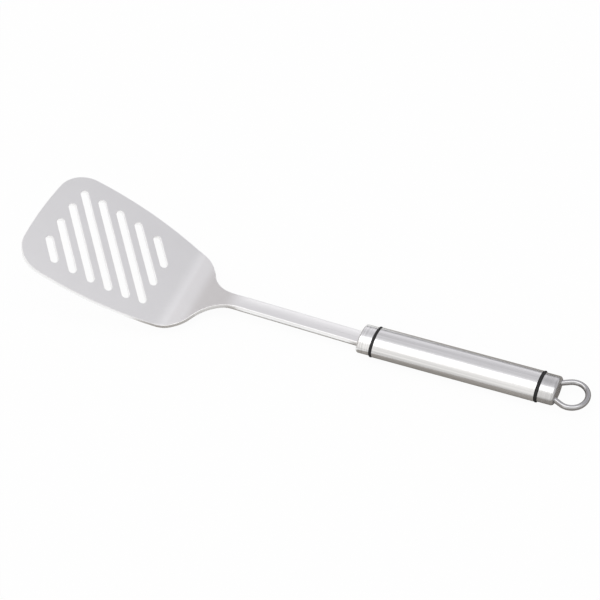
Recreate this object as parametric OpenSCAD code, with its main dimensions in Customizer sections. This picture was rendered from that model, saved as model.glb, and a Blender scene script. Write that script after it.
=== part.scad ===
// Slotted turner: a pressed steel blade and shank, held in an oval tube handle with
// two end caps, two soft seals and a wire ring to hang it by. Millimetres, +Z up.
// +X runs along the handle towards the ring, and the blade lies towards -X.
// The origin is under the middle of the whole tool, on the surface that it lies on.

/* [Blade] */
// From the corner of the bend to the tip edge
blade_len = 96.5; // [85:0.5:110]
// Widest measure across the blade
blade_w = 77.6; // [70:0.2:84]
// From the bend to the widest place
widest_at = 66; // [60:1:70]
// Radius of the long bowed sides
side_r = 253; // [220:1:320]
// Radius of the two tip corners
corner_r = 18.5; // [14:0.5:22]
// Radius of the bowed tip edge
tip_r = 230; // [180:5:300]
// Angle of the tip edge off square, longer on the -Y side
tip_skew = 2.3; // [0:0.1:3]
// Rise of the blade from the handle's line
blade_pitch = 24.9; // [15:0.1:32]
// Inside radius of the bend
bend_r = 14; // [8:0.5:20]
// Thickness of the sheet
sheet_t = 2.5; // [1.8:0.1:3]

/* [Slots] */
// Number of slots
slot_count = 8; // [6:1:8]
// Width of a slot
slot_w = 4.7; // [3:0.1:5.5]
// Spacing of the slots, square to their length
slot_pitch = 9.45; // [8.5:0.05:10]
// Angle between the slots and the blade's mid line
slot_angle = 50; // [45:1:60]
// From the bend to the middle of the row, on the mid line
slot_middle = 52; // [48:0.5:56]
// From a slot's end centre to the long side
slot_side_margin = 13.1; // [10:0.1:16]
// From a slot's end centre to the tip edge
slot_tip_margin = 13.9; // [10:0.1:16]
// From the bend to the first slots' end centres
slot_back = 16.7; // [14:0.1:20]

/* [Neck and shank] */
// Radius of the shoulders behind the blade
shoulder_r = 25; // [20:0.5:28]
// From the bend to the centre of the shoulders' arcs, towards the tip
shoulder_at = 8.2; // [6:0.1:10]
// Radius of the hollows where the neck narrows to the shank
neck_r = 23; // [18:0.5:26]
// Flat length of the neck behind the bend
neck_flat = 4.9; // [3:0.1:7]
// Radius of the dip in the neck
dip_r = 55; // [40:1:90]
// Slope of the neck
neck_pitch = 9.5; // [6:0.1:12]
// Length of the sloping neck
neck_rise = 11; // [8:0.1:16]
// Radius of the crest between the neck and the shank
crest_r = 75; // [50:1:90]
// Slope of the shank towards the handle
shank_pitch = 2.1; // [0.5:0.1:3]
// Length of the straight shank in front of the handle
shank_len = 73.9; // [60:0.1:90]
// Width of the shank
shank_w = 9.2; // [8.5:0.1:11]
// Height of the shank with its turned-down sides
shank_h = 4.9; // [4:0.1:5.6]
// Height of the shank's top over the handle's axis, at the front cap
shank_top = 0.9; // [0.4:0.1:2]

/* [Tang and pins] */
// Length of the tang inside the handle
tang_len = 34; // [28:0.5:40]
// Diameter of the two pins through the tang
pin_d = 3; // [2:0.1:3.5]
// Spacing of the two pins
pin_spacing = 14; // [10:0.5:18]

/* [Handle] */
// Width of the oval tube
handle_w = 20.4; // [18.5:0.1:23]
// Height of the oval tube
handle_h = 13; // [12.2:0.1:14]
// Radius of the oval's narrow ends
oval_end_r = 4.9; // [4.4:0.1:5.6]
// Wall of the tube
tube_wall = 1; // [0.8:0.1:1.2]
// Distance between the two seals
seal_spacing = 100.5; // [90:0.5:120]
// Thickness of a seal's round section
seal_d = 1.9; // [1.5:0.1:2.2]
// Height that a seal stands out of the tube
seal_proud = 0.3; // [0.1:0.05:0.5]
// Length of the front plug inside the tube
front_plug_len = 40; // [34:0.5:44]
// Length of the rear plug inside the tube
rear_plug_len = 17; // [15:0.5:25]

/* [Caps] */
// Step from the tube's surface in to the caps' surface
cap_inset = 0.45; // [0.2:0.05:0.6]
// Wall of the caps
cap_wall = 1.15; // [1:0.05:1.4]
// Thickness of the caps' end plates
cap_plate = 2; // [1.6:0.1:2.4]
// Length of the front cap, from the middle of its seal
front_cap_len = 9.1; // [7:0.1:12]
// Rounding of the front cap's rim
front_round = 1.2; // [0.6:0.1:1.5]
// Length of the rear cap, from the middle of its seal
rear_cap_len = 10.6; // [9:0.1:13]
// Rounding of the rear cap's rim
rear_round = 2; // [1:0.1:2.2]

/* [Hanging ring] */
// Diameter of the wire
wire_d = 3.2; // [2.5:0.1:3.4]
// Radius of the ring at the middle of the wire
ring_r = 9.1; // [8.5:0.1:10]
// From the middle of the rear seal to the ring's centre
ring_at = 18.45; // [17.5:0.05:20]
// Angle from the ring's outer end round to where each leg leaves it
ring_sweep = 115; // [108:1:120]
// Length of a leg's straight run into the handle
leg_len = 13; // [11:0.1:14]

/* [Fits] */
// Gap between pieces that are pressed or glued together
fit_gap = 0.05; // [0.02:0.01:0.1]
// Gap between the shank and the front cap's opening
shank_gap = 0.15; // [0.05:0.05:0.3]

/* [Hidden] */
$fn = 96;
// Length by which every cut runs past what it cuts
over = 1;
// Length by which pieces of one solid run into each other at a joint
joint_step = 0.2;
// Distance that an outline's arc may lie inside its true circle
arc_sag = 0.02;
// Pieces that an arc of the side view is split into
run_steps = 10;

// Space that a seal takes between its neighbours
seal_room = seal_d + 2 * fit_gap;
rear_seal_x = seal_spacing;
front_face_x = -front_cap_len;
rear_face_x = seal_spacing + rear_cap_len;
ring_x = seal_spacing + ring_at;
// How far the plugs' ends lie inside the tube's surface, in a cap and in the tube
seat_inset = cap_inset + cap_wall + fit_gap;
plug_inset = tube_wall + fit_gap;
half_pitch = blade_pitch / 2;

// Side view: the sheet's top line, from the tip to the handle
bend_tangent = bend_r * tan(half_pitch);
side_runs = [
    [blade_len + over - bend_tangent, 0],
    [bend_r, blade_pitch],
    [neck_flat, 0],
    [dip_r, neck_pitch],
    [neck_rise, 0],
    [crest_r, -neck_pitch - shank_pitch],
    [shank_len + cap_plate - fit_gap, 0],
    [tang_len, 0]
];
function steps(run) = run[1] == 0 ? 1 : run_steps;
// Numbers of the points where the sheet's sides start to turn down, where they are full and where they stop
turn_start = 3 * steps([1, 0]) + 2 * run_steps;
turn_end = turn_start + run_steps;
turn_stop = turn_end + 1;

// One step along a run: a straight of the given length, or an arc of the given radius and turn
function step_on(p, run, part) = run[1] == 0
    ? [p[0] + run[0] * part * cos(p[2]), p[1] + run[0] * part * sin(p[2]), p[2]]
    : let (r = run[0] * sign(run[1]), to = p[2] + run[1] * part)
        [p[0] + r * (sin(to) - sin(p[2])), p[1] + r * (cos(p[2]) - cos(to)), to];

// All places and headings of a side view that is made of runs
function follow(p, runs, i = 0) = i == len(runs)
    ? [p]
    : concat([for (k = [0 : steps(runs[i]) - 1]) step_on(p, runs[i], k / steps(runs[i]))],
        follow(step_on(p, runs[i], 1), runs, i + 1));

// The same line, begun at the bend's corner, says where the handle lies from there
loose_start = [-(blade_len + over) * cos(blade_pitch), (blade_len + over) * sin(blade_pitch), -blade_pitch];
loose_line = follow(loose_start, side_runs);
loose_end = loose_line[turn_stop];
bend_x = front_face_x + cap_plate - fit_gap - loose_end[0];
bend_z = shank_top - cap_plate * sin(shank_pitch) - loose_end[1];
side_line = [for (p = loose_line) [p[0] + bend_x, p[1] + bend_z, p[2]]];
shank_end = side_line[turn_stop];

// The sheet's sides turn down over the crest, so it is deeper there
function smooth(t) = t <= 0 ? 0 : t >= 1 ? 1 : t * t * (3 - 2 * t);
function side_depth(i) = sheet_t + (shank_h - sheet_t) * smooth((i - turn_start) / run_steps);
function under(p, depth) = [p[0] + depth * sin(p[2]), p[1] - depth * cos(p[2])];

// The whole tool stands on its seals, and its box is centred on the origin
tip_x = bend_x - blade_len * cos(blade_pitch) - sheet_t * tan(half_pitch);
ring_end_x = ring_x + ring_r + wire_d / 2;
middle_x = (tip_x + ring_end_x) / 2;
floor_z = -handle_h / 2 - seal_proud;

// Plan view: arcs that run into each other, on the side where v is positive
function arc(c, r, from, to) = let (n = ceil(abs(to - from) / (2 * acos(1 - arc_sag / r))) + 1)
    [for (k = [0 : n]) c + r * [cos(from + (to - from) * k / n), sin(from + (to - from) * k / n)]];
function heading(from, to) = atan2(to[1] - from[1], to[0] - from[0]);
// Centre of a circle that lies at the distances ra and rb from a and b, on the tip's side
function third_centre(a, ra, b, rb) =
    let (d = b - a, l = norm(d), along = (ra * ra - rb * rb + l * l) / (2 * l),
        off = sqrt(ra * ra - along * along))
    a + along * d / l + off * [d[1], -d[0]] / l;
side_c = [widest_at, blade_w / 2 - side_r];
function tip_c(side) = [blade_len - tip_r, side * tip_r * sin(tip_skew)];
function corner_c(side) = third_centre(side_c, side_r - corner_r, tip_c(side), tip_r - corner_r);
shoulder_c = [shoulder_at,
    side_c[1] + sqrt(pow(side_r - shoulder_r, 2) - pow(widest_at - shoulder_at, 2))];
neck_c = [shoulder_at - sqrt(pow(neck_r + shoulder_r, 2) - pow(shank_w / 2 + neck_r - shoulder_c[1], 2)),
    shank_w / 2 + neck_r];
plan_end = -bend_tangent - neck_flat - neck_rise - shank_len - crest_r - dip_r;

// Half of the blank's outline, drawn in by inset; side is 1 on the side of positive v
function half_outline(side, inset) = concat(
    [[plan_end, shank_w / 2 - inset]],
    arc(neck_c, neck_r + inset, -90, heading(neck_c, shoulder_c)),
    arc(shoulder_c, shoulder_r - inset, heading(neck_c, shoulder_c) + 180, heading(side_c, shoulder_c)),
    arc(side_c, side_r - inset, heading(side_c, shoulder_c), heading(side_c, corner_c(side))),
    arc(corner_c(side), corner_r - inset, heading(side_c, corner_c(side)), heading(tip_c(side), corner_c(side))),
    arc(tip_c(side), tip_r - inset, heading(tip_c(side), corner_c(side)), heading(tip_c(side), [blade_len, 0]))
);
function reversed(list) = [for (k = [len(list) - 1 : -1 : 0]) list[k]];

module blank_outline(inset = 0) {
    near = half_outline(1, inset);
    far = [for (p = reversed(half_outline(-1, inset))) [p[0], -p[1]]];
    // Seen square to the middle of the bend, lengths along the tool are shortened
    polygon([for (p = concat(near, far)) [p[0] * cos(half_pitch), p[1]]]);
}

// Puts a flat shape, drawn with its first axis towards the tip, at the bend's corner
module at_bend(pitch) {
    translate([bend_x, 0, bend_z])
        rotate([0, pitch, 0])
            rotate([0, 0, 180])
                children();
}

module along_y(width) {
    rotate([90, 0, 0])
        linear_extrude(height = width, center = true)
            children();
}

// A prism of the outline, cut square to the middle of the bend
module blank_prism() {
    at_bend(half_pitch)
        linear_extrude(height = 2 * blade_len, center = true)
            children();
}

// The blank seen from the side, with its turned-down sides and the tang behind them
module side_view() {
    last = len(side_line) - 1;
    top = [for (p = side_line) [p[0], p[1]]];
    tang_bottom = [for (i = [last : -1 : turn_stop]) under(side_line[i], sheet_t)];
    bottom = [for (i = [turn_stop : -1 : 0]) under(side_line[i], side_depth(i))];
    polygon(concat(top, tang_bottom, bottom));
}

// The open space between the turned-down sides
module channel_side_view() {
    roof = [for (i = [turn_start + 2 : turn_stop]) under(side_line[i], sheet_t)];
    start = side_line[turn_start + 2];
    polygon(concat(roof, [under(shank_end, shank_h), under(shank_end, 2 * shank_h), under(start, 2 * shank_h)]));
}

// Slots: straight lines across the blade, each ended by the outline's own arcs
slot_dir = [cos(slot_angle), -sin(slot_angle)];
function cross_in(p, c, r, way) = let (b = (p - c) * slot_dir, q = (p - c) * (p - c) - r * r)
    -b + way * sqrt(b * b - q);
near_c = side_c;
far_c = [side_c[0], -side_c[1]];
function slot_mid(i) = [slot_middle + (i - (slot_count - 1) / 2) * slot_pitch / sin(slot_angle), 0];
function slot_from(i) = max((slot_back - slot_mid(i)[0]) / slot_dir[0],
    cross_in(slot_mid(i), near_c, side_r - slot_side_margin, -1));
function slot_to(i) = min(cross_in(slot_mid(i), far_c, side_r - slot_side_margin, 1),
    cross_in(slot_mid(i), tip_c(1), tip_r - slot_tip_margin, 1));

module slot(length) {
    linear_extrude(height = 4 * sheet_t, center = true) {
        circle(d = slot_w);
        translate([length, 0])
            circle(d = slot_w);
        translate([0, -slot_w / 2])
            square([length, slot_w]);
    }
}

module slots() {
    for (i = [0 : slot_count - 1]) {
        start = slot_mid(i) + slot_from(i) * slot_dir;
        at_bend(blade_pitch)
            translate([start[0], start[1], 0])
                rotate([0, 0, -slot_angle])
                    slot(slot_to(i) - slot_from(i));
    }
}

// Places things at the shank's end, in line with it
module at_shank_end() {
    translate([shank_end[0], 0, shank_end[1]])
        rotate([0, shank_pitch, 0])
            children();
}

// The room that the tang takes in the plug
module tang_room() {
    at_shank_end()
        translate([-over, -shank_w / 2 - fit_gap, -sheet_t - fit_gap])
            cube([tang_len + over + fit_gap, shank_w + 2 * fit_gap, sheet_t + 2 * fit_gap]);
}

pin_x = [shank_end[0] + (tang_len - pin_spacing) / 2, shank_end[0] + (tang_len + pin_spacing) / 2];
module pins(length, d) {
    for (x = pin_x)
        translate([x, 0, 0])
            cylinder(h = length, d = d, center = true);
}

module blade_solid() {
    difference() {
        intersection() {
            along_y(blade_w + 2 * over)
                side_view();
            blank_prism()
                blank_outline();
        }
        intersection() {
            along_y(blade_w + 2 * over)
                channel_side_view();
            blank_prism()
                blank_outline(sheet_t);
        }
        slots();
        pins(handle_h, pin_d + 2 * fit_gap);
    }
}

// Oval of four arcs: two narrow ends and two broad sides, in the plane across the handle
end_c = handle_w / 2 - oval_end_r;
rise = handle_h / 2 - oval_end_r;
broad_c = (end_c * end_c - rise * rise) / (2 * rise);
broad_r = handle_h / 2 + broad_c;
end_angle = atan2(broad_c, end_c);
// The upper and the lower quarter of a narrow end meet below the middle, clear of the ring's legs
seam_angle = end_angle * 2 / 3;

module oval(grow) {
    for (side = [-1, 1])
        translate([side * end_c, 0])
            circle(r = oval_end_r + grow);
    intersection() {
        translate([0, -broad_c])
            circle(r = broad_r + grow);
        translate([0, broad_c])
            circle(r = broad_r + grow);
        square([2 * end_c + 2 * (oval_end_r + grow) * cos(end_angle), handle_h + 2 * over], center = true);
    }
}

// Turns a flat shape round the oval, whose first axis is the distance out from the tube's surface.
// Each quarter is turned about the two centres in line with the joint of its arcs, so that they meet.
module round_oval(height) {
    for (x = [0, 1])
        mirror([x, 0, 0])
            for (y = [0, 1]) {
                mirror([0, y, 0])
                    intersection() {
                        at_oval_end(end_angle)
                            translate([oval_end_r - broad_r, 0, 0])
                                rotate_extrude(angle = 90 - end_angle + over)
                                    translate([broad_r, 0])
                                        children();
                        translate([0, 0, -height])
                            cube([handle_w, handle_h, 2 * height]);
                    }
                intersection() {
                    mirror([0, y, 0])
                        at_oval_end(end_angle)
                            mirror([0, 1, 0])
                                rotate_extrude(angle = end_angle + (y == 0 ? 1 : -1) * seam_angle + over)
                                    translate([oval_end_r, 0])
                                        children();
                    at_oval_end(-seam_angle)
                        translate([-handle_w, -y * handle_w, -height])
                            cube([2 * handle_w, handle_w, 2 * height]);
                }
            }
}

module at_oval_end(angle) {
    translate([end_c, 0, 0])
        rotate([0, 0, angle])
            children();
}

// Lays an upright oval piece along the handle, its foot at x
module along_handle(x) {
    translate([x, 0, 0])
        rotate([0, 90, 0])
            rotate([0, 0, 90])
                children();
}

module oval_block(x, length, grow) {
    along_handle(x)
        linear_extrude(height = length)
            oval(grow);
}

// A cap, its mouth at the foot: a ring with a rounded rim, filled, trimmed to two clean ends and hollowed
module cap_shell(length, rounding) {
    rim = -cap_inset - rounding;
    crown = length + joint_step / 10;
    difference() {
        intersection() {
            union() {
                round_oval(2 * length)
                    polygon(concat(
                        [[rim - over, -over], [-cap_inset, -over]],
                        arc([rim, crown - rounding], rounding, 0, 90),
                        [[rim - over, crown]]
                    ));
                translate([0, 0, -over])
                    linear_extrude(height = length + 2 * over)
                        oval(rim - over / 2);
            }
            translate([-handle_w, -handle_w, 0])
                cube([2 * handle_w, 2 * handle_w, length]);
        }
        translate([0, 0, -over])
            linear_extrude(height = length - cap_plate + over)
                oval(-cap_inset - cap_wall);
    }
}

module shank_opening() {
    at_shank_end()
        translate([-cap_plate - over, -shank_w / 2 - shank_gap, -shank_h - shank_gap])
            cube([cap_plate + 2 * over, shank_w + 2 * shank_gap, shank_h + 2 * shank_gap]);
}

module front_cap_solid() {
    length = front_cap_len - seal_room / 2;
    difference() {
        translate([-seal_room / 2, 0, 0])
            mirror([1, 0, 0])
                along_handle(0)
                    cap_shell(length, front_round);
        shank_opening();
    }
}

module rear_cap_solid() {
    length = rear_cap_len - seal_room / 2;
    difference() {
        along_handle(rear_seal_x + seal_room / 2)
            cap_shell(length, rear_round);
        ring_wire(fit_gap);
    }
}

module seal(x) {
    along_handle(x)
        round_oval(seal_d)
            translate([seal_proud - seal_d / 2, 0])
                circle(d = seal_d);
}

module tube_solid() {
    length = seal_spacing - seal_room;
    difference() {
        oval_block(seal_room / 2, length, 0);
        oval_block(seal_room / 2 - over, length + 2 * over, -tube_wall);
    }
}

module front_plug_solid() {
    seat = front_cap_len - cap_plate - fit_gap + seal_room / 2;
    difference() {
        union() {
            oval_block(seal_room / 2 - seat, seat, -seat_inset);
            oval_block(seal_room / 2, front_plug_len, -plug_inset);
        }
        tang_room();
        pins(handle_h + 2 * over, pin_d + 2 * fit_gap);
    }
}

module rear_plug_solid() {
    seat = rear_cap_len - cap_plate - fit_gap + seal_room / 2;
    difference() {
        union() {
            oval_block(rear_seal_x - seal_room / 2, seat, -seat_inset);
            oval_block(rear_seal_x - seal_room / 2 - rear_plug_len, rear_plug_len, -plug_inset);
        }
        ring_wire(fit_gap);
    }
}

// Wire of the ring: an open loop whose legs run on straight, slanted towards each other.
// A leg starts just inside the loop's end and is a hair thinner, so that the joint is clean.
module ring_wire(gap = 0) {
    r = wire_d / 2 + gap;
    translate([ring_x, 0, 0]) {
        rotate([0, 0, -ring_sweep])
            rotate_extrude(angle = 2 * ring_sweep)
                translate([ring_r, 0])
                    circle(r = r);
        for (side = [0, 1])
            mirror([0, side, 0])
                rotate([0, 0, ring_sweep])
                    translate([ring_r, -joint_step, 0])
                        rotate([-90, 0, 0])
                            cylinder(h = leg_len + joint_step + gap, r = r - joint_step / 10);
    }
}

module in_place() {
    translate([-middle_x, 0, -floor_z])
        children();
}

module blade() {
    color([0.83, 0.83, 0.85])
        in_place() blade_solid();
}

module front_cap() {
    color([0.76, 0.76, 0.78])
        in_place() front_cap_solid();
}

module front_seal() {
    color([0.08, 0.08, 0.08])
        in_place() seal(0);
}

module front_plug() {
    color([0.85, 0.84, 0.8])
        in_place() front_plug_solid();
}

module tang_pins() {
    color([0.6, 0.6, 0.62])
        in_place() pins(handle_h - 2 * plug_inset - over, pin_d);
}

module handle_tube() {
    color([0.72, 0.72, 0.73])
        in_place() tube_solid();
}

module rear_plug() {
    color([0.85, 0.84, 0.8])
        in_place() rear_plug_solid();
}

module rear_seal() {
    color([0.08, 0.08, 0.08])
        in_place() seal(rear_seal_x);
}

module rear_cap() {
    color([0.76, 0.76, 0.78])
        in_place() rear_cap_solid();
}

module hanging_ring() {
    color([0.7, 0.7, 0.71])
        in_place() ring_wire();
}

blade();
front_cap();
front_seal();
front_plug();
tang_pins();
handle_tube();
rear_plug();
rear_seal();
rear_cap();
hanging_ring();
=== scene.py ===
# %% [markdown]
# A slotted turner lies on a white table, resting on the two soft seals of its handle.
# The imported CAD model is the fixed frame: every new piece is modelled in its place, in metres,
# and then stands for the CAD node of the same part. The plugs and pins inside the handle stay CAD.

# %% Load the frame
from math import acos, atan2, ceil, cos, degrees, pi, radians, sin, sqrt

import bpy
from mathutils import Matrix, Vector


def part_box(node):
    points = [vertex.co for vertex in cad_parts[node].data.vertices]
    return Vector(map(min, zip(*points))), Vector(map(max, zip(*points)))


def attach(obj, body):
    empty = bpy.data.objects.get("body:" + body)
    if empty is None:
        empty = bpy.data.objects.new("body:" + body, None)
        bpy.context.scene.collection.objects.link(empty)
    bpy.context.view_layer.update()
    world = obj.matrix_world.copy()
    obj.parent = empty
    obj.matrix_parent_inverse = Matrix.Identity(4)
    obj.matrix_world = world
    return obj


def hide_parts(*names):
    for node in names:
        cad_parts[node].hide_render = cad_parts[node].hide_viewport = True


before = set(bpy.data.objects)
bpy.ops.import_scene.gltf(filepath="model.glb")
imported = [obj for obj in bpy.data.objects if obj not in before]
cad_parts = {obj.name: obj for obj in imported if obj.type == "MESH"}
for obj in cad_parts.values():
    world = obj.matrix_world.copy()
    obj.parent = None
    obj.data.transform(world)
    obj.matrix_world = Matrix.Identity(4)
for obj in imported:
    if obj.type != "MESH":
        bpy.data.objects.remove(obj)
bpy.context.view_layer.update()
MM = 0.001
NEAR = 1e-6  # m; places closer than this count as one

# %% [markdown]
# The photographer stood well back with a long lens and looked down on the tool from its near side.
# The camera is placed first, so that each piece can be looked at through it as soon as it exists.

# %% Camera
camera_data = bpy.data.cameras.new("camera")
camera_data.sensor_width = 36
camera_data.lens = 129.0
camera = bpy.data.objects.new("camera", camera_data)
camera.location = (0.40038, -0.70087, 0.97537)
camera.rotation_euler = (radians(40.1455), radians(5.6477), radians(23.3184))
bpy.context.scene.collection.objects.link(camera)
bpy.context.scene.camera = camera
print("camera stands", round(camera.location.length, 3), "m from the tool's middle")

# %% [markdown]
# Most pieces of this tool begin as a drawn line: straight runs and arcs that flow into each other,
# like the path of a cutter. In Blender one vertex can be the pen. Extruding it draws a straight run
# and spinning it draws an arc. The same spin also carries a whole section round, which makes the
# seals and the ring. With no window open, spin and rotate turn clockwise, so both get a minus here.

# %% Pen and turning helpers
SAG = 0.005  # mm, the most that an arc's edges may cut inside it
SEAM_GAP = 0.002  # mm, the widest gap that is welded


def clear_selection():
    if bpy.context.object and bpy.context.object.mode == "EDIT":
        bpy.ops.object.mode_set(mode="OBJECT")
    bpy.ops.object.select_all(action="DESELECT")


def pen_down(place):
    bpy.ops.mesh.primitive_plane_add(size=MM)
    if bpy.context.object.mode == "OBJECT":
        bpy.ops.object.mode_set(mode="EDIT")
    bpy.ops.mesh.select_mode(type="VERT")
    bpy.ops.mesh.merge(type="CENTER")
    bpy.ops.transform.translate(value=Vector(place) * MM)


def draw_run(step):
    bpy.ops.mesh.extrude_region_move(TRANSFORM_OT_translate={"value": Vector(step) * MM})


def draw_arc(centre, radius, angle, axis=(0, 0, 1)):
    steps = ceil(abs(radians(angle)) / (2 * acos(1 - SAG / radius)))
    bpy.ops.mesh.spin(steps=steps, angle=-radians(angle), center=Vector(centre) * MM, axis=axis)


def turn(angle, centre, axis):
    bpy.ops.transform.rotate(value=-radians(angle), orient_axis=axis,
                             center_override=Vector(centre) * MM)


def edit_mesh():
    piece = bpy.context.object
    piece.update_from_editmode()
    return piece.data


def choose(kind, test):
    """Selects the faces, edges or vertices of the piece in hand that pass the test."""
    bpy.ops.mesh.select_mode(type={"polygons": "FACE", "edges": "EDGE", "vertices": "VERT"}[kind])
    bpy.ops.mesh.select_all(action="DESELECT")
    bpy.ops.object.mode_set(mode="OBJECT")
    mesh = bpy.context.object.data
    chosen = [part for part in getattr(mesh, kind) if test(part, mesh)]
    for part in chosen:
        part.select = True
    bpy.ops.object.mode_set(mode="EDIT")


def cut_at_x(x):
    """Cuts across what is selected."""
    bpy.ops.mesh.bisect(plane_co=(x * MM, 0, 0), plane_no=(1, 0, 0))


def cut_at_y(y):
    """Cuts what is selected lengthwise."""
    bpy.ops.mesh.bisect(plane_co=(0, y * MM, 0), plane_no=(0, 1, 0))


def close_seams():
    bpy.ops.mesh.select_all(action="SELECT")
    bpy.ops.mesh.remove_doubles(threshold=SEAM_GAP * MM)
    bpy.ops.mesh.normals_make_consistent(inside=False)


def finish_piece(name, node, material, smooth_angle=40):
    bpy.ops.object.mode_set(mode="OBJECT")
    piece = bpy.context.object
    piece.name = piece.data.name = name
    bpy.ops.object.transform_apply(location=True, rotation=True, scale=True)
    piece.data.materials.clear()
    piece.data.materials.append(material)
    bpy.ops.object.shade_smooth_by_angle(angle=radians(smooth_angle))
    modifier = piece.modifiers.new("flat faces stay flat", "WEIGHTED_NORMAL")
    modifier.keep_sharp = True
    bpy.ops.object.modifier_apply(modifier=modifier.name)
    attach(piece, "root")
    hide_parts(node)
    places = [vertex.co for vertex in piece.data.vertices]
    box = [[limit(place[i] for place in places) for i in range(3)] for limit in (min, max)]
    off = [[round((new - old) / MM, 2) for new, old in zip(*corners)]
           for corners in zip(box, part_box(node))]
    print(name, len(piece.data.polygons), "faces, off its node's box by, mm:", off)


# %% [markdown]
# The steel is stainless throughout, but each part is finished in its own way. The blade and shank
# are tumbled to an even satin. The tube is brushed along its length and the caps round theirs.
# The ring is bright wire. The seals are matt black rubber, and the plugs are plain nylon.
# Brushing leaves streaks, so the noise is drawn out along them and drives the colour as well.
# Each finish is a metal or plastic shader with noise of the right grain in its roughness, and all
# but the ring's and the pins' in their bump too.

# %% Finishes
GRAIN_SPAN = 0.3, 0.7  # the noise seldom leaves it


def new_finish(name, colour, metallic, roughness):
    material = bpy.data.materials.new(name)
    material.use_nodes = True
    shader = material.node_tree.nodes["Principled BSDF"]
    shader.inputs["Base Color"].default_value = (*colour, 1)
    shader.inputs["Metallic"].default_value = metallic
    shader.inputs["Roughness"].default_value = roughness
    return material, shader


def grain(material, scale):
    """Noise in the piece's own coordinates; scale gives the marks per metre along X, Y and Z."""
    nodes, links = material.node_tree.nodes, material.node_tree.links
    place = nodes.new("ShaderNodeTexCoord")
    stretch = nodes.new("ShaderNodeMapping")
    stretch.inputs["Scale"].default_value = scale
    noise = nodes.new("ShaderNodeTexNoise")
    noise.inputs["Scale"].default_value = 1
    noise.inputs["Detail"].default_value = 3
    links.new(place.outputs["Object"], stretch.inputs["Vector"])
    links.new(stretch.outputs["Vector"], noise.inputs["Vector"])
    return noise.outputs["Fac"]


def slide(tree, source, low, high, first, last, ease="LINEAR"):
    """A value that goes from first to last as the source goes from low to high."""
    span = tree.nodes.new("ShaderNodeMapRange")
    span.interpolation_type = ease
    for name, value in zip(("From Min", "From Max", "To Min", "To Max"), (low, high, first, last)):
        span.inputs[name].default_value = value
    tree.links.new(source, span.inputs["Value"])
    return span.outputs["Result"]


def vary(material, source, socket, low, high):
    """Lets the grain drive a socket between two values."""
    tree = material.node_tree
    tree.links.new(slide(tree, source, *GRAIN_SPAN, low, high), socket)


def tint(material, source, shader, dark, light):
    """Lets the grain drive the colour between two greys."""
    nodes, links = material.node_tree.nodes, material.node_tree.links
    ramp = nodes.new("ShaderNodeValToRGB")
    for element, position, tone in zip(ramp.color_ramp.elements, GRAIN_SPAN, (dark, light)):
        element.position, element.color = position, (tone, tone, tone, 1)
    links.new(source, ramp.inputs["Fac"])
    links.new(ramp.outputs["Color"], shader.inputs["Base Color"])


def paint_light_and_shade_along_x(material, shader, start, end, first, last):
    """Paints light and shade by scaling the colour along X, from one share at start to another at
    end.
    """
    tree = material.node_tree
    nodes, links = tree.nodes, tree.links
    place = nodes.new("ShaderNodeTexCoord")
    along = nodes.new("ShaderNodeSeparateXYZ")
    scaled = nodes.new("ShaderNodeVectorMath")
    scaled.operation = "SCALE"
    links.new(place.outputs["Object"], along.inputs["Vector"])
    links.new(shader.inputs["Base Color"].links[0].from_socket, scaled.inputs[0])
    links.new(slide(tree, along.outputs["X"], start, end, first, last), scaled.inputs["Scale"])
    links.new(scaled.outputs["Vector"], shader.inputs["Base Color"])


def relief(material, source, shader, height):
    """Lets the grain raise the surface by up to the height in mm."""
    nodes, links = material.node_tree.nodes, material.node_tree.links
    bump = nodes.new("ShaderNodeBump")
    bump.inputs["Distance"].default_value = height * MM
    bump.inputs["Strength"].default_value = 0.5
    links.new(source, bump.inputs["Height"])
    links.new(bump.outputs["Normal"], shader.inputs["Normal"])


satin, shader = new_finish("satin_blade_steel", (0.95, 0.95, 0.95), 1, 0.38)
fine = grain(satin, (3000, 3000, 3000))
vary(satin, fine, shader.inputs["Roughness"], 0.33, 0.42)
tint(satin, grain(satin, (60, 60, 60)), shader, 0.94, 0.96)
relief(satin, fine, shader, 0.01)

brushed, shader = new_finish("brushed_tube_steel", (0.81, 0.81, 0.81), 1, 0.22)
fine = grain(brushed, (40, 4000, 4000))
vary(brushed, fine, shader.inputs["Roughness"], 0.17, 0.28)
tint(brushed, grain(brushed, (8, 800, 800)), shader, 0.74, 0.89)
relief(brushed, fine, shader, 0.02)

turned, shader = new_finish("brushed_cap_steel", (0.77, 0.77, 0.77), 1, 0.22)
fine = grain(turned, (4000, 60, 60))
vary(turned, fine, shader.inputs["Roughness"], 0.17, 0.28)
tint(turned, grain(turned, (800, 20, 20)), shader, 0.69, 0.87)
# Painted light and shade: the colour is scaled up on the front cap and down on the rear cap. It
# stands in for the brighter and darker reflections each cap shows. Both caps have one finish.
paint_light_and_shade_along_x(turned, shader, 0.06, 0.14, 1.08, 0.86)  # the rear cap is the duller one
relief(turned, fine, shader, 0.02)

bright, shader = new_finish("bright_ring_wire", (0.56, 0.56, 0.57), 1, 0.12)
vary(bright, grain(bright, (900, 900, 900)), shader.inputs["Roughness"], 0.06, 0.14)

rubber, shader = new_finish("matt_seal_rubber", (0.012, 0.012, 0.013), 0, 0.55)
fine = grain(rubber, (2500, 2500, 2500))
vary(rubber, fine, shader.inputs["Roughness"], 0.5, 0.65)
relief(rubber, fine, shader, 0.02)

nylon, shader = new_finish("moulded_plug_nylon", (0.8, 0.78, 0.72), 0, 0.5)
fine = grain(nylon, (1200, 1200, 1200))
vary(nylon, fine, shader.inputs["Roughness"], 0.42, 0.58)
relief(nylon, fine, shader, 0.03)

pin_steel, shader = new_finish("ground_pin_steel", (0.6, 0.6, 0.62), 1, 0.3)
vary(pin_steel, grain(pin_steel, (300, 300, 4000)), shader.inputs["Roughness"], 0.22, 0.4)

for node, finish in {"front_plug": nylon, "rear_plug": nylon, "tang_pins": pin_steel}.items():
    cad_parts[node].material_slots[0].material = finish
print("finishes:", len(bpy.data.materials))

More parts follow.
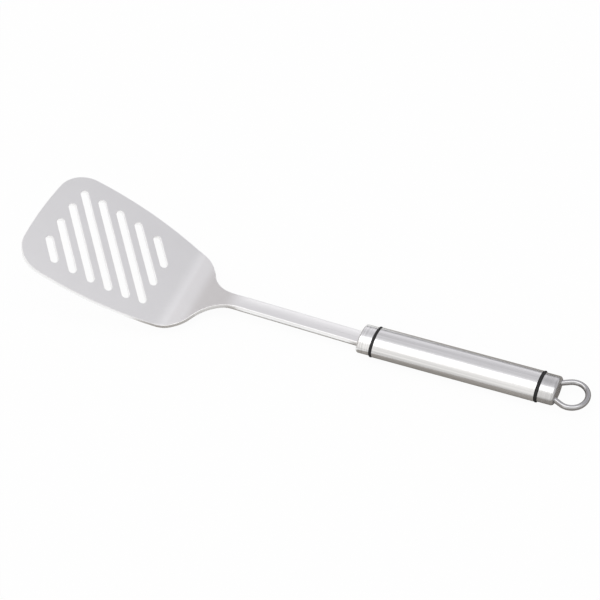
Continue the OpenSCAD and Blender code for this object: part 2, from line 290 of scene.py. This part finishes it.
# %% [markdown]
# Blade, neck, shank and tang are one pressing. It starts as a flat blank of sheet steel, cut to an
# outline of arcs and pierced with eight slanted slots. The press then turns the shank's sides down
# and bends the blank three times. Blender can follow the same steps: draw, fill, thicken, round the
# edges, cut the sheet across where it bends, and turn all that lies beyond each cut a little.

# %% Sizes of the blank, mm
sheet = 2.5
shank_w, shank_h = 9.2, 4.9
shank_end = (35.06, 7.627)  # X and Z of its top
handle_z = 6.8
tang = 34

# Where each bend begins, from the shank's end towards the tip, and the length that it takes
crest_at, crest_bend = 75.85, 15.18
dip_at, dip_bend = 102.03, 9.12
bend_at, bend_bend = 114.1, 10.0
corner_at = 119.05

# Radii and centres of the outline's arcs, from the bend's corner: ahead of it, and to the near side
side_r, side_c = 253, (66, -214.2)
tip_r, tip_c = 230, (-133.5, 9.23)
corner_r, near_c, far_c = 18.5, (77.725, 20.007), (75.958, -20.089)
shoulder_r, shoulder_c = 25, (8.2, 6.352)
neck_r = 24.7
neck_out = shank_w / 2 + neck_r
neck_c = (shoulder_c[0] - sqrt((neck_r + shoulder_r) ** 2 - (neck_out - shoulder_c[1]) ** 2),
          neck_out)


def on_blank(u, v):
    """A place u ahead of the bend's corner and v to the near side, on the flat blank."""
    return shank_end[0] - corner_at - u, -v, shank_end[1]


def heading(start, end):
    return degrees(atan2(end[1] - start[1], end[0] - start[0]))


def mirrored(place):
    return place[0], -place[1]


# %% Draw the blank's outline
clear_selection()
pen_down(on_blank(-corner_at - tang, shank_w / 2))
straight = corner_at + tang + neck_c[0]
draw_run((-straight, 0, 0))
out = heading(neck_c, shoulder_c)
flank = heading(side_c, shoulder_c)
outline = [
    (neck_c, neck_r, -90, out),
    (shoulder_c, shoulder_r, out + 180, flank),
    (side_c, side_r, flank, heading(side_c, near_c)),
    (near_c, corner_r, heading(side_c, near_c), heading(tip_c, near_c)),
    (tip_c, tip_r, heading(tip_c, near_c), heading(tip_c, far_c)),
    (far_c, corner_r, heading(tip_c, far_c), heading(mirrored(side_c), far_c)),
    (mirrored(side_c), side_r, heading(mirrored(side_c), far_c), -flank),
    (mirrored(shoulder_c), shoulder_r, -flank, -out - 180),
    (mirrored(neck_c), neck_r, -out, 90),
]
for centre, radius, start, end in outline:
    draw_arc(on_blank(*centre), radius, end - start)
draw_run((straight, 0, 0))
draw_run((0, -shank_w, 0))

# %% Pierce the slots and the two pin holes
slot_w, slot_angle, slot_count, slot_pitch = 4.7, 50, 8, 9.45
slot_middle, slot_back, side_margin, tip_margin = 52, 16.7, 13.1, 13.9
pin_places, pin_hole = (-10, -24), 3.1
slant = Vector((cos(radians(slot_angle)), -sin(radians(slot_angle))))


def along_slot(start, centre, radius, way):
    """How far from start, along the slant, the slot's line crosses a circle."""
    gap = start - Vector(centre)
    half = gap.dot(slant)
    return -half + way * sqrt(half * half - gap.dot(gap) + radius * radius)


def draw_hole(start, end, width):
    side = (end - start).normalized() * width / 2 if end != start else Vector((width / 2, 0))
    across = Vector((-side.y, side.x))
    pen_down(on_blank(*(start + across)))
    reach = end - start
    for way, centre in ((-1, end), (1, start)):
        if reach.length:
            draw_run((way * reach.x, way * reach.y, 0))
        draw_arc(on_blank(*centre), width / 2, -180)


slot_ends = []
for i in range(slot_count):
    ahead = (i - (slot_count - 1) / 2) * slot_pitch / sin(radians(slot_angle))
    middle = Vector((slot_middle + ahead, 0))
    start = max((slot_back - middle.x) / slant.x,
                along_slot(middle, side_c, side_r - side_margin, -1))
    end = min(along_slot(middle, mirrored(side_c), side_r - side_margin, 1),
              along_slot(middle, tip_c, tip_r - tip_margin, 1))
    slot_ends.append((middle + start * slant, middle + end * slant))
    draw_hole(*slot_ends[-1], slot_w)
for pin_x in pin_places:
    place = Vector((-corner_at + pin_x, 0))
    draw_hole(place, place, pin_hole)
print("slot lengths, mm:", [round((b - a).length + slot_w, 1) for a, b in slot_ends])

# %% Fill and thicken the blank
close_seams()
bpy.ops.mesh.fill(use_beauty=True)
bpy.ops.mesh.select_all(action="SELECT")
draw_run((0, 0, -sheet))
close_seams()
print("blank:", len(edit_mesh().vertices), "vertices")

# %% [markdown]
# Filling leaves triangles that run anywhere, and rounding needs tidy faces. So the blank is cut
# once across all eight slots and once across each pin hole, the cuts are marked as seams, and all
# other lines in the flat faces are dissolved.

# %% Tidy the flat faces
blade_pitch, neck_pitch, shank_pitch = 24.9, 9.5, 2.1
bend_steps, dip_steps, crest_steps = 20, 8, 12


def mark_cut(place, normal):
    bpy.ops.mesh.select_all(action="SELECT")
    bpy.ops.mesh.bisect(plane_co=Vector(place) * MM, plane_no=normal)
    bpy.ops.mesh.mark_seam(clear=False)


def bend_places(at, length, steps):
    """Where the sheet is cut across for one bend, from the tip's side of it to the handle's."""
    return [shank_end[0] - at - length * k / steps for k in range(steps, -1, -1)]


bends = [
    (bend_places(bend_at, bend_bend, bend_steps), blade_pitch),
    (bend_places(dip_at, dip_bend, dip_steps), neck_pitch),
    (bend_places(crest_at, crest_bend, crest_steps), -neck_pitch - shank_pitch),
]
slots_middle = sum((Vector(end) for end in slot_ends[0] + slot_ends[-1]), Vector((0, 0))) / 4
mark_cut(on_blank(*slots_middle), (slant.x, slant.y, 0))
for x in (0,) + pin_places:
    mark_cut((shank_end[0] - x, 0, 0), (1, 0, 0))
bpy.ops.mesh.select_all(action="SELECT")
bpy.ops.mesh.dissolve_limited(angle_limit=radians(0.02), delimit={"SEAM"})
print("tidy blank:", len(edit_mesh().polygons), "faces")

# %% [markdown]
# The press turns the shank's two sides down, which makes it a stiff channel. They grow out of the
# flat neck over the crest's length, and lean in a little towards the foot. Here two strips of the
# underside are drawn down to the full depth. Over the crest their feet are then raised again, one
# column of vertices after the other, so that the depth fades to nothing.

# %% Turn the shank's sides down
lean = 0.9
fold_places = bends[-1][0]
fold_start, fold_end = fold_places[0] * MM, fold_places[-1] * MM
tang_front = shank_end[0] * MM
flat_half = shank_w / 2 - sheet
wall_in = flat_half * MM
below_sheet = (shank_end[1] - sheet - 0.01) * MM
hair = 2e-7  # m, so that a foot is found at its own level


def smooth_step(t):
    """Eases a share from 0 to 1, and holds it at both ends."""
    t = min(1, max(0, t))
    return t * t * (3 - 2 * t)


def along_fold(x):
    """How far along the fold x is, in metres: 0 where the sides begin, 1 where they are deepest."""
    return (x - fold_start) / (fold_end - fold_start)


def looks_down(face, mesh):
    return face.normal.z < -0.9


def under_shank(face, mesh):
    return looks_down(face, mesh) and fold_start < face.center.x < tang_front


def under_a_side(face, mesh):
    return under_shank(face, mesh) and abs(face.center.y) > wall_in


def level_foot(face, mesh):
    return face.normal.z < -0.999 and face.center.z < below_sheet


def in_side(vertex, side):
    return vertex.co.y * side > wall_in + NEAR


choose("polygons", looks_down)
cut_at_x(fold_places[0])
for x in fold_places[1:]:
    choose("polygons", under_shank)
    cut_at_x(x)
for y in (-flat_half, flat_half):
    choose("polygons", under_shank)
    cut_at_y(y)
choose("polygons", under_a_side)
draw_run((0, 0, sheet - shank_h))
choose("polygons", level_foot)
bpy.ops.mesh.dissolve_faces()
for x in fold_places[1:]:
    choose("polygons", level_foot)
    cut_at_x(x)

fold_columns = []
for x in sorted(vertex.co.x for vertex in edit_mesh().vertices
                if vertex.co.z < below_sheet and vertex.co.x < fold_end - 2 * NEAR):
    if not fold_columns or x - fold_columns[-1] > 2 * NEAR:
        fold_columns.append(x)
for x in fold_columns:
    choose("vertices", lambda vertex, mesh: abs(vertex.co.x - x) < 2 * NEAR
           and vertex.co.z < below_sheet)
    deep = smooth_step(along_fold(x))
    share = 1 - deep
    bpy.ops.transform.translate(value=(0, 0, share * (shank_h - sheet) * MM))
    foot_z = (shank_end[1] - sheet - (shank_h - sheet) * deep) * MM + hair
    for side in (-1, 1):
        choose("vertices", lambda vertex, mesh: abs(vertex.co.x - x) < 2 * NEAR
               and vertex.co.z < foot_z and in_side(vertex, side))
        bpy.ops.transform.translate(value=(0, -side * lean * (1 - share) * MM, 0))
for side in (-1, 1):
    choose("vertices", lambda vertex, mesh: vertex.co.x > fold_end - 2 * NEAR
           and vertex.co.z < below_sheet and in_side(vertex, side))
    bpy.ops.transform.translate(value=(0, -side * lean * MM, 0))
close_seams()
print("fold columns:", len(fold_columns))

# %% [markdown]
# Pressing and tumbling leave no sharp edge. The shank's shoulders are the roundest, the blade's
# rim is only broken, and the slots' rims are too. Every edge gets a weight of its own for one
# bevel, and the weight fades where the shank becomes the blade. The smallest radii are left out,
# because they would leave slivers.

# %% Round the edges
shoulder_round, foot_round, top_round, under_round, slot_round = 0.7, 0.6, 0.3, 0.4, 0.3
kink_round, kink_from = 0.4, 0.6
least_round, widest, round_steps = 0.08, 1.0, 5


def beside_slot(place):
    """Whether a place lies on the wall of a slot."""
    flat = Vector((place.x, place.y)) / MM
    for ends in slot_ends:
        start, end = (Vector(on_blank(*end)).xy for end in ends)
        run = end - start
        share = min(1, max(0, (flat - start).dot(run) / run.length_squared))
        if (start + share * run - flat).length < slot_w / 2 + 0.05:
            return True
    return False


def rounding_at(place, top):
    """Radius in mm: large on the shank, small on the blade and at the slots."""
    if beside_slot(place):
        return slot_round
    if top:
        ahead = (shank_end[0] - place.x / MM - crest_at) / (bend_at - crest_at)
        return shoulder_round + (top_round - shoulder_round) * smooth_step(3 * ahead)
    folded = along_fold(place.x)
    if folded > 0:
        return foot_round * smooth_step(2 * folded - 1)
    return under_round * smooth_step(-2 * folded - 0.2)


def give_weight(edge, radius):
    weight.data[edge.index].value = (radius if radius > least_round else 0) / widest


bpy.ops.mesh.select_mode(type="EDGE")
bpy.ops.mesh.select_all(action="DESELECT")
bpy.ops.mesh.edges_select_sharp(sharpness=radians(50))
bpy.ops.object.mode_set(mode="OBJECT")
mesh = bpy.context.object.data
weight = mesh.attributes.new("bevel_weight_edge", "FLOAT", "EDGE")
rounded = 0
for edge in mesh.edges:
    ends = [mesh.vertices[i].co for i in edge.vertices]
    middle = (ends[0] + ends[1]) / 2
    if middle.x > tang_front - NEAR:
        continue
    folded = along_fold(middle.x)
    kink = max(abs(end.z / MM - shank_end[1] + sheet) for end in ends) < 0.001
    if kink and folded > kink_from and abs(middle.y) > wall_in + MM:
        give_weight(edge, kink_round * smooth_step((folded - kink_from) / (1 - kink_from)))
    elif edge.select:
        outside = abs(middle.y) > wall_in + NEAR or middle.x < fold_start
        level = abs(ends[0].z - ends[1].z) < 0.7 * (ends[0] - ends[1]).length
        if outside and level:
            give_weight(edge, rounding_at(middle, middle.z > (shank_end[1] - 0.1) * MM))
            rounded += 1
print("rounded edges:", rounded)
modifier = bpy.context.object.modifiers.new("rounding", "BEVEL")
modifier.limit_method = "WEIGHT"
modifier.width = widest * MM
modifier.segments = round_steps
modifier.use_clamp_overlap = False
modifier.loop_slide = False
bpy.ops.object.modifier_apply(modifier=modifier.name)
bpy.ops.object.mode_set(mode="EDIT")
bpy.ops.mesh.select_all(action="SELECT")
bpy.ops.mesh.mark_seam(clear=True)
close_seams()

# %% [markdown]
# The press also dishes the shank: its top is a shallow hollow, which catches the light on its far
# side. It begins over the crest and ends at the front cap. The top is made one face, cut across and
# lengthwise, and each crossing of the cuts goes down to the hollow.

# %% Dish the shank's top
dish_half, dish_depth, dish_lines, dish_edge = shank_w / 2 - shoulder_round, 0.26, 5, 0.12
dish_start, dish_end, dish_stop = fold_places[0], fold_places[-1] + 6, shank_end[0] - 1.2
dish_x = fold_places[1:] + [fold_places[-1] + ahead for ahead in (1, 3, 6, 10, 20, 40)]
dish_y = [dish_half * k / dish_lines for k in range(1 - dish_lines, dish_lines)]
dish_y += [dish_edge - dish_half, dish_half - dish_edge]


def looks_up(face, mesh):
    return face.normal.z > 0.999


def on_top(face, mesh):
    return looks_up(face, mesh) and dish_start * MM < face.center.x < dish_stop * MM


for x in (dish_start, dish_stop):
    choose("polygons", looks_up)
    cut_at_x(x)
choose("polygons", on_top)
bpy.ops.mesh.dissolve_faces()
for x in dish_x:
    bpy.ops.mesh.select_all(action="SELECT")
    cut_at_x(x)
for y in dish_y:
    choose("polygons", on_top)
    cut_at_y(y)
for x in dish_x + [dish_stop]:
    share = smooth_step((x - dish_start) / (dish_end - dish_start))
    for y in dish_y:
        choose("vertices", lambda vertex, mesh: abs(vertex.co.x - x * MM) < NEAR
               and abs(vertex.co.y - y * MM) < NEAR and vertex.co.z > (shank_end[1] - 0.01) * MM)
        depth = dish_depth * (1 - (y / dish_half) ** 2) * share
        bpy.ops.transform.translate(value=(0, 0, -depth * MM))
print("dish crossings:", len(dish_y) * (len(dish_x) + 1))

# %% [markdown]
# Bending comes last. The blank is cut across in many places along each bend, and at every cut all
# that lies beyond it turns a little. The steps ease in and out, so the light runs softly over them.

# %% Bend the blank
for places, angle in bends:
    for x in places:
        bpy.ops.mesh.select_all(action="SELECT")
        cut_at_x(x)
    for k, x in enumerate(places):
        choose("vertices", lambda vertex, mesh: vertex.co.x < x * MM - NEAR)
        before, after = (smooth_step((k + half) / (len(places) - 1)) for half in (-0.5, 0.5))
        turn(angle * (after - before), (x, 0, shank_end[1]), "Y")
bpy.ops.mesh.select_all(action="SELECT")
turn(shank_pitch, (shank_end[0], 0, shank_end[1]), "Y")
finish_piece("blade_and_shank", "blade", satin)

# %% [markdown]
# The handle's section is an oval of four arcs: two broad sides and two narrow ends. Every handle
# piece is drawn by the same four turns about their centres, drawn in by its own step from the
# tube's surface. A vertex carried round makes an outline, and a round section makes a seal.

# %% The oval's turns
handle_w, handle_h, end_r = 20.4, 13.0, 4.9
end_c = handle_w / 2 - end_r
rise = handle_h / 2 - end_r
broad_c = (end_c ** 2 - rise ** 2) / (2 * rise)
broad_turn = 90 - degrees(atan2(broad_c, end_c))


def go_round_oval(x, inset=0):
    """Carries what is selected, at the top of the oval, once round it, with the -Y side first."""
    z = handle_z
    broad_r, narrow_r = handle_h / 2 + broad_c - inset, end_r - inset
    for centre, radius, angle in (
        ((x, 0, z - broad_c), broad_r, broad_turn),
        ((x, -end_c, z), narrow_r, 180 - 2 * broad_turn),
        ((x, 0, z + broad_c), broad_r, 2 * broad_turn),
        ((x, end_c, z), narrow_r, 180 - 2 * broad_turn),
        ((x, 0, z - broad_c), broad_r, broad_turn),
    ):
        draw_arc(centre, radius, angle, (1, 0, 0))


def draw_oval(x, inset=0):
    """Draws and fills the oval at x, and leaves its face selected."""
    pen_down((x, 0, handle_z + handle_h / 2 - inset))
    go_round_oval(x, inset)
    bpy.ops.mesh.select_all(action="SELECT")
    bpy.ops.mesh.remove_doubles(threshold=SEAM_GAP * MM)
    bpy.ops.mesh.edge_face_add()


def end_face(x):
    return lambda face, mesh: abs(face.center.x - x * MM) < NEAR and abs(face.normal.x) > 0.99


def rim(x):
    return lambda edge, mesh: all(abs(mesh.vertices[i].co.x - x * MM) < NEAR for i in edge.vertices)


# %% [markdown]
# The tube is a thin-walled oval pipe, cut square and lightly broken at its ends. A filled oval is
# inset by the wall, its middle is deleted, and the ring that stays is drawn out along the handle.

# %% Handle tube
front_seal_x, rear_seal_x = 42.213, 142.713
seal_d, seal_proud, fit = 1.9, 0.3, 0.05
seal_room = seal_d + 2 * fit
tube_start, tube_end = front_seal_x + seal_room / 2, rear_seal_x - seal_room / 2
tube_wall, broken_edge = 1, 0.15
clear_selection()
draw_oval(tube_start)
bpy.ops.mesh.inset(thickness=tube_wall * MM, use_even_offset=True)
bpy.ops.mesh.delete(type="ONLY_FACE")
bpy.ops.mesh.select_all(action="SELECT")
draw_run((tube_end - tube_start, 0, 0))
close_seams()
for x in (tube_start, tube_end):
    choose("edges", rim(x))
    bpy.ops.mesh.bevel(offset=broken_edge * MM, segments=2)
finish_piece("oval_handle_tube", "handle_tube", brushed)

# %% [markdown]
# Each seal is a rubber ring of round section, pressed into an oval groove between cap and tube.
# A small circle is stood up across the oval's path and spun round its four centres.

# %% Seals
seal_sides = 28


def make_seal(x, name, node):
    clear_selection()
    inset = seal_d / 2 - seal_proud
    bpy.ops.mesh.primitive_circle_add(vertices=seal_sides, radius=seal_d / 2 * MM,
                                      rotation=(radians(90), 0, 0),
                                      location=Vector((x, 0, handle_z + handle_h / 2 - inset)) * MM)
    bpy.ops.object.transform_apply(location=True, rotation=True, scale=True)
    bpy.ops.object.mode_set(mode="EDIT")
    go_round_oval(x, inset)
    close_seams()
    finish_piece(name, node, rubber, 60)


make_seal(front_seal_x, "front_seal_ring", "front_seal")
make_seal(rear_seal_x, "rear_seal_ring", "rear_seal")

# %% [markdown]
# A cap is a drawn steel cup with a rounded rim. A filled oval is drawn out to the cap's length, the
# edge of its end plate is bevelled round, and the mouth is inset by the wall and pushed in again.
# The front cap's plate has an opening that fits the shank; the rear cap's has two holes for the
# ring.

# %% Caps
cap_inset, cap_wall, cap_plate, cap_steps = 0.45, 1.15, 2.0, 8
front_end, front_round = 33.113, 1.2
rear_end, rear_round = 153.313, 2.0
shank_top, shank_gap, opening_len = 0.9, 0.15, 5


def draw_cap(mouth, end, rounding):
    clear_selection()
    draw_oval(mouth, cap_inset)
    draw_run((end - mouth, 0, 0))
    close_seams()
    choose("edges", rim(end))
    bpy.ops.mesh.bevel(offset=rounding * MM, segments=cap_steps)
    choose("polygons", end_face(mouth))
    bpy.ops.mesh.inset(thickness=cap_wall * MM, use_even_offset=True)
    way = 1 if end > mouth else -1
    draw_run((end - mouth - way * cap_plate, 0, 0))
    close_seams()
    bpy.ops.object.mode_set(mode="OBJECT")
    return bpy.context.object


def upper_long_edge(edge, mesh):
    """Whether an edge of the opening's block is one of the two that the shank's shoulders pass."""
    ends = [mesh.vertices[i].co for i in edge.vertices]
    return min(end.z for end in ends) > (handle_z + 0.5) * MM and abs(ends[0].x - ends[1].x) > MM


def cut_with(piece, cutter):
    """Takes the cutter's shape out of the piece, and the cutter away."""
    modifier = piece.modifiers.new("opening", "BOOLEAN")
    modifier.operation = "DIFFERENCE"
    modifier.solver = "EXACT"
    modifier.object = cutter
    bpy.ops.object.select_all(action="DESELECT")
    piece.select_set(True)
    bpy.context.view_layer.objects.active = piece
    bpy.ops.object.modifier_apply(modifier=modifier.name)
    bpy.data.objects.remove(cutter)


cap = draw_cap(front_seal_x - seal_room / 2, front_end, front_round)
bpy.ops.object.select_all(action="DESELECT")
opening = Vector((front_end + 1, 0, handle_z + shank_top - shank_h / 2))
bpy.ops.mesh.primitive_cube_add(size=MM, location=opening * MM)
cutter = bpy.context.object
cutter.scale = (opening_len, shank_w + 2 * shank_gap, shank_h + 2 * shank_gap)
bpy.ops.object.transform_apply(location=True, rotation=True, scale=True)
bpy.ops.object.mode_set(mode="EDIT")
choose("edges", upper_long_edge)
bpy.ops.mesh.bevel(offset=(shoulder_round + shank_gap) * MM, segments=round_steps)
bpy.ops.object.mode_set(mode="OBJECT")
cut_with(cap, cutter)
finish_piece("front_end_cap", "front_cap", turned, 50)

# %% [markdown]
# The ring is one bright wire. It is bent round by 230 degrees, and both ends run on straight,
# slanted towards each other, through the cap into the rear plug. One round section is carried all
# the way.

# %% Hanging ring
wire_r, ring_r, ring_x, ring_turn, leg, wire_sides = 1.6, 9.1, 161.163, 115, 13, 32


def draw_wire(radius):
    """Draws the ring's wire at the given half thickness, from one leg's end to the other's."""
    clear_selection()
    corner = radians(ring_turn)
    along = Vector((sin(corner), cos(corner), 0))
    start = Vector((ring_x + ring_r * cos(corner), -ring_r * sin(corner), handle_z))
    facing = (radians(90), 0, atan2(along.y, along.x) - radians(90))
    bpy.ops.mesh.primitive_circle_add(vertices=wire_sides, radius=radius * MM, fill_type="NGON",
                                      rotation=facing, location=(start - along * leg) * MM)
    bpy.ops.object.transform_apply(location=True, rotation=True, scale=True)
    bpy.ops.object.mode_set(mode="EDIT")
    draw_run(along * leg)
    finer = 2 * ring_r  # the radius only sets how many steps the arc takes
    draw_arc((ring_x, 0, handle_z), finer, 2 * ring_turn)
    draw_run((-along.x * leg, along.y * leg, 0))
    close_seams()


draw_wire(wire_r)
finish_piece("hanging_ring_wire", "hanging_ring", bright)

# %% Rear cap
draw_wire(wire_r + fit)
bpy.ops.object.mode_set(mode="OBJECT")
cutter = bpy.context.object
cap = draw_cap(rear_seal_x + seal_room / 2, rear_end, rear_round)
cut_with(cap, cutter)
finish_piece("rear_end_cap", "rear_cap", turned, 50)

# %% [markdown]
# Bright metal has little colour of its own and shows the room. The photograph's tones tell what
# the room was like: a long soft light overhead, a pale wall behind the camera, a dimmer lilac one
# behind the tool that is dark near the table, and a table that looks white and shows a faint soft
# shadow. The room is a world whose tone depends on the direction, so metal mirrors it without any
# props. Its left end is dimmer and warmer than the middle, and its right half is a little dimmer.

# %% Room
world = bpy.data.worlds.new("room")
bpy.context.scene.world = world
world.use_nodes = True
nodes, links = world.node_tree.nodes, world.node_tree.links
nodes.clear()
direction = nodes.new("ShaderNodeTexCoord")
parts = nodes.new("ShaderNodeSeparateXYZ")
links.new(direction.outputs["Generated"], parts.inputs["Vector"])


def wall(tones):
    """A wall's tones from the table up: height of the direction against colour."""
    ramp = nodes.new("ShaderNodeValToRGB")
    ramp.color_ramp.interpolation = "EASE"
    elements = ramp.color_ramp.elements
    for position, tone, tinge in tones:
        element = elements.new(position)
        element.color = (*(tone * share for share in tinge), 1)
    elements.remove(elements[0])
    elements.remove(elements[-1])
    links.new(parts.outputs["Z"], ramp.inputs["Fac"])
    return ramp.outputs["Color"]


def across(output, low, high, first, last):
    """A share that goes from first to last as the direction goes from low to high."""
    return slide(world.node_tree, parts.outputs[output], low, high, first, last, "SMOOTHSTEP")


warm, lilac = (1.0, 0.985, 0.97), (0.98, 0.965, 1.0)
front_wall = wall([(0.001, 0.62, warm), (0.3, 0.88, warm), (0.5, 1.0, warm), (0.999, 1.0, warm)])
back_wall = wall([(0.001, 0.12, lilac), (0.09, 0.25, lilac), (0.26, 1.02, lilac),
                  (0.5, 0.80, lilac), (0.72, 0.67, lilac), (0.95, 0.85, lilac)])
walls = nodes.new("ShaderNodeMix")
walls.data_type = "RGBA"
links.new(across("Y", -0.25, 0.3, 0, 1), walls.inputs["Factor"])
links.new(front_wall, walls.inputs["A"])
links.new(back_wall, walls.inputs["B"])
warmer = nodes.new("ShaderNodeMix")
warmer.data_type, warmer.blend_type = "RGBA", "MULTIPLY"
links.new(across("X", -0.58, -0.36, 1, 0), warmer.inputs["Factor"])
links.new(walls.outputs["Result"], warmer.inputs["A"])
warmer.inputs["B"].default_value = (1.03, 0.995, 0.965, 1)
room = nodes.new("ShaderNodeBackground")
links.new(warmer.outputs["Result"], room.inputs["Color"])
strength = nodes.new("ShaderNodeMath")
strength.operation = "MULTIPLY"
links.new(across("X", -0.56, -0.34, 0.60, 1.0), strength.inputs[0])
links.new(across("X", -0.30, 0.05, 1.0, 0.80), strength.inputs[1])
links.new(strength.outputs["Value"], room.inputs["Strength"])
output = nodes.new("ShaderNodeOutputWorld")
links.new(room.outputs["Background"], output.inputs["Surface"])

# %% [markdown]
# The table looks almost pure white, and only a trace of shadow lies on it. A plain white surface
# can't be that even, so to the camera most of it glows and the rest takes the shadow. Bright metal
# mirrors the table, and there the table carries a painted shadow: dim and brownish under the tool
# and all along the handle, pale beside it. So the table's tone depends on the kind of ray that
# meets it, and on where the place lies.

# %% Table
camera_glow = 0.955
bpy.ops.object.select_all(action="DESELECT")
bpy.ops.mesh.primitive_plane_add(size=30, location=(0, 0, 0))
table = bpy.context.object
table.name = "table"
white, shader = new_finish("white_table", (0.98, 0.98, 0.98), 0, 0.9)
nodes, links = white.node_tree.nodes, white.node_tree.links
shader.inputs["Specular IOR Level"].default_value = 0
glow = nodes.new("ShaderNodeEmission")
rays = nodes.new("ShaderNodeLightPath")
spot = nodes.new("ShaderNodeTexCoord")
sides = nodes.new("ShaderNodeSeparateXYZ")
links.new(spot.outputs["Object"], sides.inputs["Vector"])


def combine(operation, first, second=0):
    """One sum of two values; a value is a socket or a number."""
    step = nodes.new("ShaderNodeMath")
    step.operation = operation
    for socket, value in zip(step.inputs, (first, second)):
        if isinstance(value, (int, float)):
            socket.default_value = value
        else:
            links.new(value, socket)
    return step.outputs["Value"]


def fade(value, low, high, first, last):
    """A share that goes from first to last as the value goes from low to high."""
    return slide(white.node_tree, value, low, high, first, last, "SMOOTHSTEP")


# Half the width of the painted shadow that mirrored rays see: broad under the blade's heel, narrow
# under the shank. In front of the heel the blade stands high and the ground is pale, and along the
# handle all of it carries the painted shadow.
painted_shadow_half_width = fade(sides.outputs["X"], -0.085, -0.040, 0.042, 0.0067)
beyond = combine("SUBTRACT", combine("ABSOLUTE", sides.outputs["Y"]), painted_shadow_half_width)
outside = fade(beyond, -0.0005, 0.0005, 0, 1)
outside = combine("MAXIMUM", outside, fade(sides.outputs["X"], -0.112, -0.095, 1, 0))
# Mirrored rays see the painted shadow all along the handle too. They see the open, glowing table
# only where pale is 1.
pale = combine("MULTIPLY", fade(sides.outputs["X"], 0.022, 0.030, 1, 0), outside)
mirrored_rays = combine("MAXIMUM", rays.outputs["Is Glossy Ray"],
                        rays.outputs["Is Transmission Ray"])
total = combine("ADD", combine("MULTIPLY", rays.outputs["Is Camera Ray"], camera_glow),
                combine("MULTIPLY", mirrored_rays, pale))
tone = nodes.new("ShaderNodeMix")
tone.data_type = "RGBA"
links.new(combine("MAXIMUM", rays.outputs["Is Camera Ray"], pale), tone.inputs["Factor"])
# The painted shadow's colour, dim and brownish, which only mirrored rays see. The white is the open
# table.
tone.inputs["A"].default_value = (0.44, 0.42, 0.395, 1)
tone.inputs["B"].default_value = (0.98, 0.98, 0.98, 1)
links.new(tone.outputs["Result"], shader.inputs["Base Color"])
both = nodes.new("ShaderNodeMixShader")
links.new(total, both.inputs["Fac"])
links.new(shader.outputs["BSDF"], both.inputs[1])
links.new(glow.outputs["Emission"], both.inputs[2])
links.new(both.outputs["Shader"], nodes["Material Output"].inputs["Surface"])
table.data.materials.append(white)

# %% [markdown]
# One long soft light hangs overhead, in line with the tool and shifted towards the blade. It draws
# the bright band along the tube and the caps, and the sheen on the blade.

# %% Overhead light
lamp_place, lamp_size, lamp_tone = Vector((-0.25, 0, 1.3)), (1.8, 0.6), 1.15
softbox = bpy.data.lights.new("overhead_softbox", "AREA")
softbox.shape = "RECTANGLE"
softbox.size, softbox.size_y = lamp_size
softbox.energy = lamp_tone * pi * lamp_size[0] * lamp_size[1]
lamp = bpy.data.objects.new("overhead_softbox", softbox)
lamp.location = lamp_place
lamp.rotation_euler = Vector((0, 0, -lamp_place.z)).to_track_quat("-Z", "Y").to_euler()
bpy.context.scene.collection.objects.link(lamp)
print("softbox energy, W:", round(softbox.energy, 3))
bpy.context.scene.view_settings.view_transform = "Standard"
